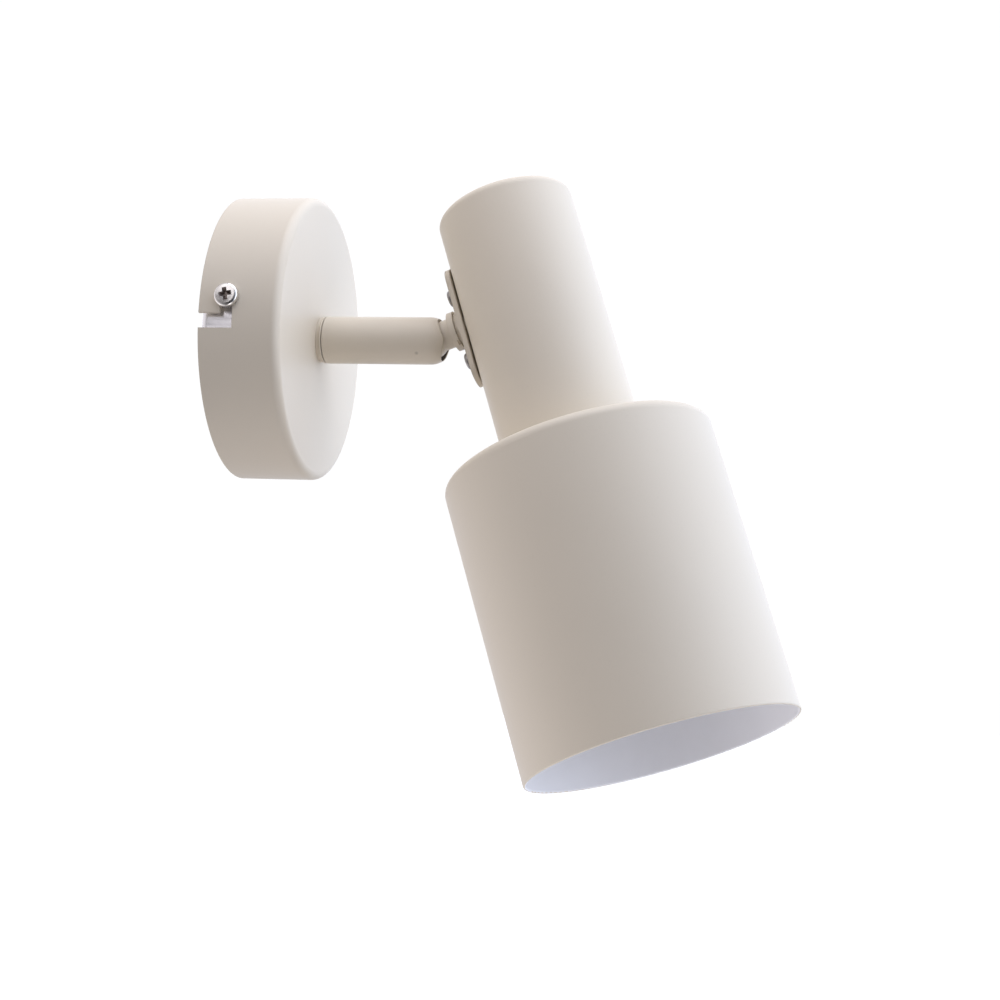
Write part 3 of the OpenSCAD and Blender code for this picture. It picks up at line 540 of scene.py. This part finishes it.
def camera_axes():
    """(right, up, back) of the camera, with its roll."""
    azimuth, elevation, roll = (math.radians(v) for v in (CAMERA_AZIMUTH, CAMERA_ELEVATION, CAMERA_ROLL))
    back = Vector((
        math.sin(azimuth) * math.cos(elevation), -math.cos(azimuth) * math.cos(elevation), math.sin(elevation)
    ))
    right = Vector((math.cos(azimuth), math.sin(azimuth), 0))
    up = back.cross(right)
    rolled_right = math.cos(roll) * right + math.sin(roll) * up
    rolled_up = -math.sin(roll) * right + math.cos(roll) * up
    return rolled_right, rolled_up, back


def add_camera():
    right, up, back = camera_axes()
    data = bpy.data.cameras.new("camera")
    data.sensor_width = SENSOR_WIDTH
    data.lens = FOCAL_PX * SENSOR_WIDTH / IMAGE_PX
    camera = add_object("camera", data)
    at = (Vector(CAMERA_TARGET) + CAMERA_DISTANCE * back) * MM
    camera.matrix_world = Matrix.LocRotScale(at, axes_matrix(right, up, back), None)
    bpy.context.scene.camera = camera


NEUTRAL = (1.04, 1.0, 1.04)
COOL = (0.90, 0.99, 1.19)
# Panels of the studio tent: azimuth and elevation in degrees, brightness and colour
TENT_PANELS = (
    (10, 0, 1.41, COOL), (55, 0, 0.99, COOL), (100, 0, 0.85, COOL), (145, 0, 0.57, NEUTRAL),
    (-170, 0, 0.54, NEUTRAL), (-125, 0, 0.12, NEUTRAL), (10, 45, 1.74, COOL), (100, 45, 0.72, NEUTRAL),
    (-170, 45, 0.60, NEUTRAL), (100, -45, 0.21, NEUTRAL), (-170, -45, 1.17, NEUTRAL),
)
PANEL_SHARPNESS = 6.0
TENT_STRENGTH = 1.02
# Softboxes near the lamp: name, place, what it points at and side in millimetres, and watts
SOFTBOXES = (
    ("above", (-60, -110, 380), (0, -110, -40), 320, 0.62),
    ("above_wall", (-260, 60, 300), (0, -20, 0), 260, 0.22),
    ("under_shade", (-90, -180, -420), (-30, -140, -120), 260, 0.27),
    ("under_shade_near", (-260, -200, -330), (-30, -140, -120), 200, 0.24),
    ("front", (-160, -520, -60), (0, -150, -60), 300, 0.25),
    ("beside_slot", (-393, 71, 198), (-48, -10, 13), 100, 0.037),
)


def towards(azimuth, elevation):
    """Unit vector to a place round the object, in the camera's angles."""
    turn, rise = math.radians(azimuth), math.radians(elevation)
    return Vector((math.sin(turn) * math.cos(rise), -math.cos(turn) * math.cos(rise), math.sin(rise)))


def add_tent():
    """Surrounds the object with soft panels: bright behind, beside and above it, dim where the camera stands."""
    world = bpy.data.worlds.new("tent")
    world.use_nodes = True
    tree = world.node_tree
    tree.nodes.clear()
    direction = add_node(tree, "ShaderNodeTexCoord", {}).outputs["Generated"]
    light = (0.0, 0.0, 0.0)
    for azimuth, elevation, brightness, colour in TENT_PANELS:
        facing = dot(tree, direction, tuple(towards(azimuth, elevation)))
        falloff = calculate(tree, "SUBTRACT", facing, 1.0)
        glow = calculate(tree, "EXPONENT", calculate(tree, "MULTIPLY", falloff, PANEL_SHARPNESS))
        panel = vectors(tree, "MULTIPLY", tuple(brightness * c for c in colour), glow)
        light = vectors(tree, "ADD", panel, light)
    seen = add_node(tree, "ShaderNodeLightPath", {}).outputs["Is Camera Ray"]
    colour = mix(tree, seen, light, (1.0, 1.0, 1.0))
    shader = add_node(tree, "ShaderNodeBackground", {"Color": colour, "Strength": TENT_STRENGTH})
    add_node(tree, "ShaderNodeOutputWorld", {"Surface": shader.outputs["Background"]})
    bpy.context.scene.world = world


def add_softboxes():
    """Near lamps that light the top, the front, the inside of the shade and the bracket's ear."""
    for name, at, aim, side, watts in SOFTBOXES:
        data = bpy.data.lights.new(name, "AREA")
        data.shape = "SQUARE"
        data.size = side * MM
        data.energy = watts
        data.color = tuple(c / max(NEUTRAL) for c in NEUTRAL)
        lamp = add_object(name, data)
        lamp.location = Vector(at) * MM
        lamp.rotation_euler = (Vector(aim) - Vector(at)).to_track_quat("-Z", "Y").to_euler()
        lamp.visible_camera = False


def add_floor():
    """Pale floor well below the lamp. It doesn't throw light back, which the tent already does."""
    corners = [(x * FLOOR_HALF, y * FLOOR_HALF, -FLOOR_DROP) for x, y in ((-1, -1), (1, -1), (1, 1), (-1, 1))]
    mesh = bpy.data.meshes.new("floor")
    mesh.from_pydata(corners, [], [(0, 1, 2, 3)])
    floor = add_object("floor", mesh)
    material, tree = new_material("pale_floor")
    grain = noise(tree, place(tree), 30.0, 3.0)
    close_material(
        tree, Base_Color=mix(tree, grain, (0.90, 0.90, 0.90), (0.93, 0.93, 0.93)), Roughness=0.7,
        Emission_Color=rgba((1, 1, 1)), Emission_Strength=0.45,
    )
    mesh.materials.append(material)
    floor.visible_diffuse = False
    floor.visible_glossy = False


dress_cad_nodes()
add_screws()
add_stem_leads()
add_cover_screw_threads()
add_camera()
add_tent()
add_softboxes()
add_floor()
bpy.context.scene.view_settings.view_transform = "Standard"
